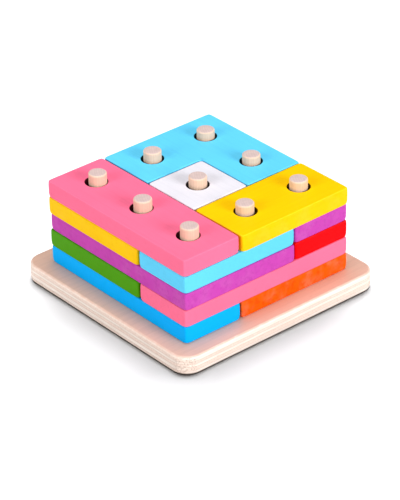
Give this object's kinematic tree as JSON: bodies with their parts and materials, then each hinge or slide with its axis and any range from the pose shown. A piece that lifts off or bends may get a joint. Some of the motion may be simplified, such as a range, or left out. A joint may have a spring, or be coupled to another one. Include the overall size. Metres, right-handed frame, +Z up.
{
  "type": "peg board stacking puzzle",
  "caption": "Square plywood board with upright dowel pegs that hold layers of flat painted wooden blocks, each with round holes to slide over the pegs.",
  "frame": {"origin": "centre of the board's underside, on the surface that it stands on", "axes": "+Z up along the pegs, -Y towards the front, +X to the right; X and Y run along the board's sides"},
  "size_m": [0.137, 0.137, 0.0669],
  "materials": {
    "plywood": "sanded birch plywood with clear matte lacquer",
    "dowel_wood": "sanded bare hardwood dowel",
    "paint_orange": "satin water-based paint on solid wood",
    "paint_blue": "satin water-based paint on solid wood",
    "paint_green": "satin water-based paint on solid wood",
    "paint_yellow": "satin water-based paint on solid wood",
    "paint_pink": "satin water-based paint on solid wood",
    "paint_red": "satin water-based paint on solid wood",
    "paint_white": "satin water-based paint on solid wood",
    "paint_purple": "satin water-based paint on solid wood",
    "paint_cyan": "satin water-based paint on solid wood"
  },
  "bodies": {
    "base": {"base_board": "plywood", "peg_front_left": "dowel_wood", "peg_front_middle": "dowel_wood", "peg_front_right": "dowel_wood", "peg_middle_left": "dowel_wood", "peg_centre": "dowel_wood", "peg_middle_right": "dowel_wood", "peg_back_left": "dowel_wood", "peg_back_middle": "dowel_wood", "peg_back_right": "dowel_wood"},
    "orange_u_layer1": {"orange_u_layer1": "paint_orange"},
    "blue_tee_layer1": {"blue_tee_layer1": "paint_blue"},
    "green_square_layer2": {"green_square_layer2": "paint_green"},
    "yellow_pair_layer2": {"yellow_pair_layer2": "paint_yellow"},
    "pink_bar_layer2": {"pink_bar_layer2": "paint_pink"},
    "red_zed_layer3": {"red_zed_layer3": "paint_red"},
    "white_single_layer3": {"white_single_layer3": "paint_white"},
    "purple_ell_layer3": {"purple_ell_layer3": "paint_purple"},
    "yellow_pair_layer4": {"yellow_pair_layer4": "paint_yellow"},
    "cyan_corner_layer4": {"cyan_corner_layer4": "paint_cyan"},
    "purple_ell_layer4": {"purple_ell_layer4": "paint_purple"},
    "pink_bar_layer5": {"pink_bar_layer5": "paint_pink"},
    "cyan_corner_layer5": {"cyan_corner_layer5": "paint_cyan"},
    "white_single_layer5": {"white_single_layer5": "paint_white"},
    "yellow_pair_layer5": {"yellow_pair_layer5": "paint_yellow"}
  },
  "joints": [
    {"name": "orange_u_layer1_lift", "type": "slide", "parent": "base", "child": "orange_u_layer1", "axis": [0, 0, 1], "range_m": [0, 0.065]},
    {"name": "blue_tee_layer1_lift", "type": "slide", "parent": "orange_u_layer1", "child": "blue_tee_layer1", "axis": [0, 0, 1], "range_m": [0, 0.065]},
    {"name": "green_square_layer2_lift", "type": "slide", "parent": "blue_tee_layer1", "child": "green_square_layer2", "axis": [0, 0, 1], "range_m": [0, 0.055]},
    {"name": "yellow_pair_layer2_lift", "type": "slide", "parent": "green_square_layer2", "child": "yellow_pair_layer2", "axis": [0, 0, 1], "range_m": [0, 0.055]},
    {"name": "pink_bar_layer2_lift", "type": "slide", "parent": "yellow_pair_layer2", "child": "pink_bar_layer2", "axis": [0, 0, 1], "range_m": [0, 0.055]},
    {"name": "red_zed_layer3_lift", "type": "slide", "parent": "pink_bar_layer2", "child": "red_zed_layer3", "axis": [0, 0, 1], "range_m": [0, 0.045]},
    {"name": "white_single_layer3_lift", "type": "slide", "parent": "red_zed_layer3", "child": "white_single_layer3", "axis": [0, 0, 1], "range_m": [0, 0.045]},
    {"name": "purple_ell_layer3_lift", "type": "slide", "parent": "white_single_layer3", "child": "purple_ell_layer3", "axis": [0, 0, 1], "range_m": [0, 0.045]},
    {"name": "yellow_pair_layer4_lift", "type": "slide", "parent": "purple_ell_layer3", "child": "yellow_pair_layer4", "axis": [0, 0, 1], "range_m": [0, 0.035]},
    {"name": "cyan_corner_layer4_lift", "type": "slide", "parent": "yellow_pair_layer4", "child": "cyan_corner_layer4", "axis": [0, 0, 1], "range_m": [0, 0.035]},
    {"name": "purple_ell_layer4_lift", "type": "slide", "parent": "cyan_corner_layer4", "child": "purple_ell_layer4", "axis": [0, 0, 1], "range_m": [0, 0.035]},
    {"name": "pink_bar_layer5_lift", "type": "slide", "parent": "purple_ell_layer4", "child": "pink_bar_layer5", "axis": [0, 0, 1], "range_m": [0, 0.025]},
    {"name": "cyan_corner_layer5_lift", "type": "slide", "parent": "purple_ell_layer4", "child": "cyan_corner_layer5", "axis": [0, 0, 1], "range_m": [0, 0.025]},
    {"name": "white_single_layer5_lift", "type": "slide", "parent": "purple_ell_layer4", "child": "white_single_layer5", "axis": [0, 0, 1], "range_m": [0, 0.025]},
    {"name": "yellow_pair_layer5_lift", "type": "slide", "parent": "purple_ell_layer4", "child": "yellow_pair_layer5", "axis": [0, 0, 1], "range_m": [0, 0.025]}
  ]
}
